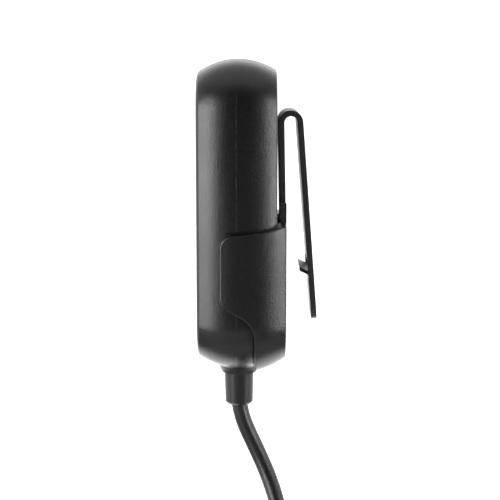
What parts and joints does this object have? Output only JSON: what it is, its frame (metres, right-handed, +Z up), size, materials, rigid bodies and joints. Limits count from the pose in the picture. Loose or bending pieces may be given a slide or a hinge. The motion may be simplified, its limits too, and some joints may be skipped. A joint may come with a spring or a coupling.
{
  "type": "lavalier microphone",
  "caption": "Clip-on lavalier microphone: a flat pebble-shaped housing with a push button, a U-bent spring clip in a screwed saddle, and a trailing cord with a jack plug",
  "frame": {"origin": "centre of the gap between the clip's tooth and the saddle, where the clip grips the cloth", "axes": "+Z up along the housing's length, +Y out of the back towards the clip arm, -Y the microphone's front face, X the housing's width"},
  "size_m": [0.0459, 0.0236, 0.2102],
  "materials": {
    "housing_plastic": "fine matt spark-eroded black plastic",
    "button_rubber": "black silicone rubber",
    "clip_steel": "black-coated spring steel",
    "screw_steel": "black oxide steel",
    "seal_rubber": "soft black rubber",
    "grille_steel": "black powder-coated perforated steel",
    "foam": "open-cell black foam and felt",
    "capsule_metal": "bare aluminium",
    "film": "metallised polyester film",
    "insulator_plastic": "natural nylon",
    "brass": "bare brass",
    "board_laminate": "green solder mask on glass-epoxy laminate",
    "component_black": "epoxy moulding compound",
    "clear_plastic": "clear acrylic",
    "cord_jacket": "smooth glossy black PVC",
    "wire_insulation": "coloured PVC insulation",
    "tie_fabric": "black hook-and-loop strap",
    "plug_plastic": "moulded black plastic",
    "contact_plate": "nickel-plated brass"
  },
  "bodies": {
    "housing": {"front_shell": "housing_plastic", "rear_shell": "housing_plastic", "seam_gasket": "seal_rubber", "clip_saddle": "housing_plastic", "clip_fixed_leg": "clip_steel", "upper_case_screws": "screw_steel", "lower_case_screws": "screw_steel", "capsule_leads": "wire_insulation", "circuit_board": "board_laminate", "board_screws": "screw_steel", "switch_body": "component_black", "switch_dome": "brass", "preamp_chip": "component_black", "board_components": "component_black", "cable_header": "insulator_plastic", "light_pipe": "clear_plastic", "status_led": "clear_plastic", "strain_relief": "seal_rubber", "cord_inner_end": "cord_jacket", "cord_anchor": "brass", "core_wires": "wire_insulation", "cord_lead": "cord_jacket", "cord_coil": "cord_jacket", "cord_tail": "cord_jacket", "coil_tie": "tie_fabric", "mic_grille": "grille_steel", "foam_windscreen": "foam", "mic_boot": "seal_rubber", "capsule_can": "capsule_metal", "capsule_felt": "foam", "diaphragm_ring": "capsule_metal", "diaphragm_film": "film", "diaphragm_spacer": "insulator_plastic", "capsule_backplate": "brass", "capsule_insulator": "insulator_plastic", "capsule_board": "board_laminate", "plug_boot": "seal_rubber", "plug_handle": "plug_plastic", "plug_sleeve_contact": "contact_plate", "plug_ring_contact": "contact_plate", "plug_tip_contact": "contact_plate", "plug_insulators": "insulator_plastic"},
    "clip_arm": {"clip_spring_arm": "clip_steel"},
    "button": {"mute_button": "button_rubber", "switch_plunger": "component_black"}
  },
  "joints": [
    {"name": "clip_flex", "type": "hinge", "parent": "housing", "child": "clip_arm", "pos_m": [0, -0.0007, 0.03129], "axis": [1, 0, 0], "range_deg": [-3.5, 12], "stiffness_Nm_per_rad": 1.5},
    {"name": "mute_press", "type": "slide", "parent": "housing", "child": "button", "axis": [0, 1, 0], "range_m": [0, 0.0006], "stiffness_N_per_m": 2000}
  ]
}
